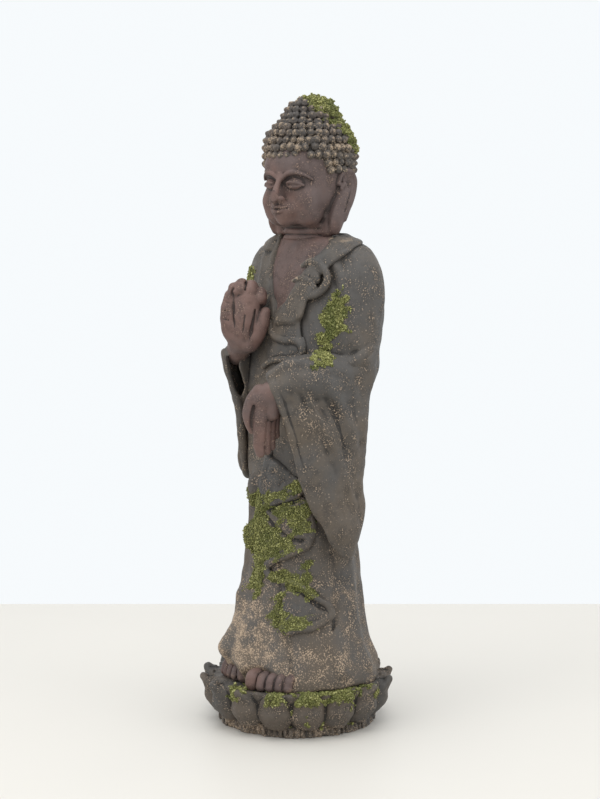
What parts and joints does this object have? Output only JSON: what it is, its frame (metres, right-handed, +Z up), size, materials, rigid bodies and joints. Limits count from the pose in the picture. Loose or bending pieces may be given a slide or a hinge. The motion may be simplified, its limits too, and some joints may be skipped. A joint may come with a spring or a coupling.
{
  "type": "buddha statue",
  "caption": "Standing buddha statue in dark weathered cast stone, one hand raised and one lowered, long-sleeved robe, on a round lotus plinth with moss patches.",
  "frame": {"origin": "centre of the plinth's foot, on the surface the statue stands on", "axes": "+Z up; the figure faces -Y, so its left side is +X and its back is +Y"},
  "size_m": [0.2494, 0.2494, 0.8017],
  "materials": {
    "robe_stone": "weathered dark grey with earth-brown wash",
    "skin_stone": "dark red-brown, satin",
    "plinth_stone": "weathered dark grey with earth-brown wash",
    "fibre_board": "raw fibre-cement board",
    "zinc_steel": "zinc plated",
    "moss_flock": "coarse granular flock"
  },
  "bodies": {
    "root": {"lotus_plinth": "plinth_stone", "closing_disc": "fibre_board", "robe_body": "robe_stone", "left_sleeve": "robe_stone", "right_sleeve": "robe_stone", "lapel_drape": "robe_stone", "front_drape": "robe_stone", "head": "skin_stone", "left_hand": "skin_stone", "right_hand": "skin_stone", "left_foot": "skin_stone", "right_foot": "skin_stone", "tie_rod": "zinc_steel", "tie_rod_washers": "zinc_steel", "tie_rod_nuts": "zinc_steel", "wrist_pins": "zinc_steel", "moss_crown": "moss_flock", "moss_left_arm": "moss_flock", "moss_right_arm": "moss_flock", "moss_skirt": "moss_flock", "moss_plinth": "moss_flock"}
  },
  "joints": []
}
